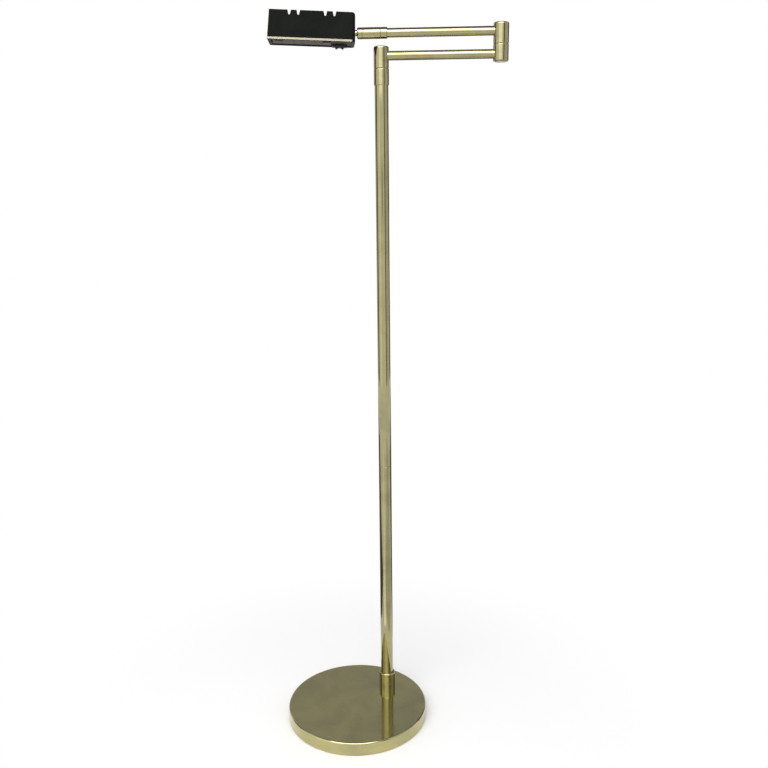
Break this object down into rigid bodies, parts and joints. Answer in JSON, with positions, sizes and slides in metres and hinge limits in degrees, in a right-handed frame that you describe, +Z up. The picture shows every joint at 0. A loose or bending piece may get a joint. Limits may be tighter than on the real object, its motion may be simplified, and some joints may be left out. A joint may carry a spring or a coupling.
{
  "type": "swing arm floor lamp",
  "caption": "Floor lamp with a round weighted base, an off-centre pole, a folding two-part arm and a tent-shaped metal shade on a ball swivel.",
  "frame": {"origin": "centre of the base's underside, on the floor", "axes": "+Z up along the pole, +X along the lower arm from the pole to the elbow, +Y away from the side that the shade faces"},
  "size_m": [0.383, 0.2476, 1.2097],
  "materials": {
    "polished_brass": "polished, lightly tarnished",
    "cast_iron": "rough casting",
    "felt": "pressed felt",
    "black_plastic": "moulded, satin",
    "zinc_steel": "zinc plated",
    "nylon": "natural",
    "lead_sheath": "clear amber sheath",
    "black_enamel": "satin enamel",
    "bright_aluminium": "bright anodised sheet",
    "dark_ceramic": null,
    "quartz": "clear quartz"
  },
  "bodies": {
    "root": {"base_cover": "polished_brass", "base_weight": "cast_iron", "felt_pad": "felt", "cord_bushing": "black_plastic", "foot_collar": "polished_brass", "foot_nipple": "zinc_steel", "foot_nut": "zinc_steel", "foot_washer": "zinc_steel", "pole_lower_tube": "polished_brass", "pole_upper_tube": "polished_brass", "pole_joiner": "zinc_steel", "pole_neck_ring": "polished_brass", "pole_lead": "lead_sheath", "pole_stem": "zinc_steel", "pole_stem_nut": "zinc_steel", "pole_seam_washer": "nylon", "pole_wave_washer": "zinc_steel", "pole_nut": "zinc_steel"},
    "lower_arm": {"pole_knuckle": "polished_brass", "pole_lid": "polished_brass", "lower_arm_tube": "polished_brass", "lower_arm_lead": "lead_sheath", "elbow_lower_knuckle": "polished_brass", "elbow_lower_lid": "polished_brass", "elbow_stem": "zinc_steel", "elbow_seam_washer": "nylon", "elbow_wave_washer": "zinc_steel", "elbow_nut": "zinc_steel"},
    "upper_arm": {"elbow_upper_knuckle": "polished_brass", "elbow_upper_lid": "polished_brass", "upper_arm_tube": "polished_brass", "upper_arm_lead": "lead_sheath", "arm_end_ring": "polished_brass", "sleeve_clip": "zinc_steel"},
    "swivel": {"swivel_sleeve": "polished_brass", "swivel_cap": "polished_brass", "ball_cup": "nylon", "spring_stop": "zinc_steel", "swivel_spring": "zinc_steel"},
    "head": {"ball_stud": "polished_brass", "stud_washer": "zinc_steel", "stud_nut": "zinc_steel", "shade_shell": "black_enamel", "front_trim": "polished_brass", "rear_trim": "polished_brass", "reflector": "bright_aluminium", "lampholder_far": "dark_ceramic", "holder_bracket_far": "zinc_steel", "holder_screw_far": "zinc_steel", "lampholder_near": "dark_ceramic", "holder_bracket_near": "zinc_steel", "holder_screw_near": "zinc_steel", "halogen_bulb": "quartz", "switch_plate": "black_enamel", "switch_housing": "black_plastic", "rocker_pin": "zinc_steel"},
    "rocker": {"switch_rocker": "black_plastic"}
  },
  "joints": [
    {"name": "pole_swivel", "type": "hinge", "parent": "root", "child": "lower_arm", "pos_m": [0.0498, 0.0634, 1.1204], "axis": [0, 0, 1], "range_deg": [-175, 175]},
    {"name": "elbow_swivel", "type": "hinge", "parent": "lower_arm", "child": "upper_arm", "pos_m": [0.2389, 0.0634, 1.154], "axis": [0, 0, 1], "range_deg": [-175, 175]},
    {"name": "head_roll", "type": "hinge", "parent": "upper_arm", "child": "swivel", "pos_m": [0.0176, 0.0634, 1.1736], "axis": [-1, 0, 0], "range_deg": [-160, 160]},
    {"name": "head_bend", "type": "hinge", "parent": "swivel", "child": "head", "pos_m": [0.0176, 0.0634, 1.1736], "axis": [0, 0.2656, 0.9641], "range_deg": [-25.9, 10.1]},
    {"name": "switch_rock", "type": "hinge", "parent": "head", "child": "rocker", "pos_m": [-0.01866, 0.08073, 1.15692], "axis": [0.1331, -0.9911, 0], "range_deg": [-9, 9]}
  ]
}
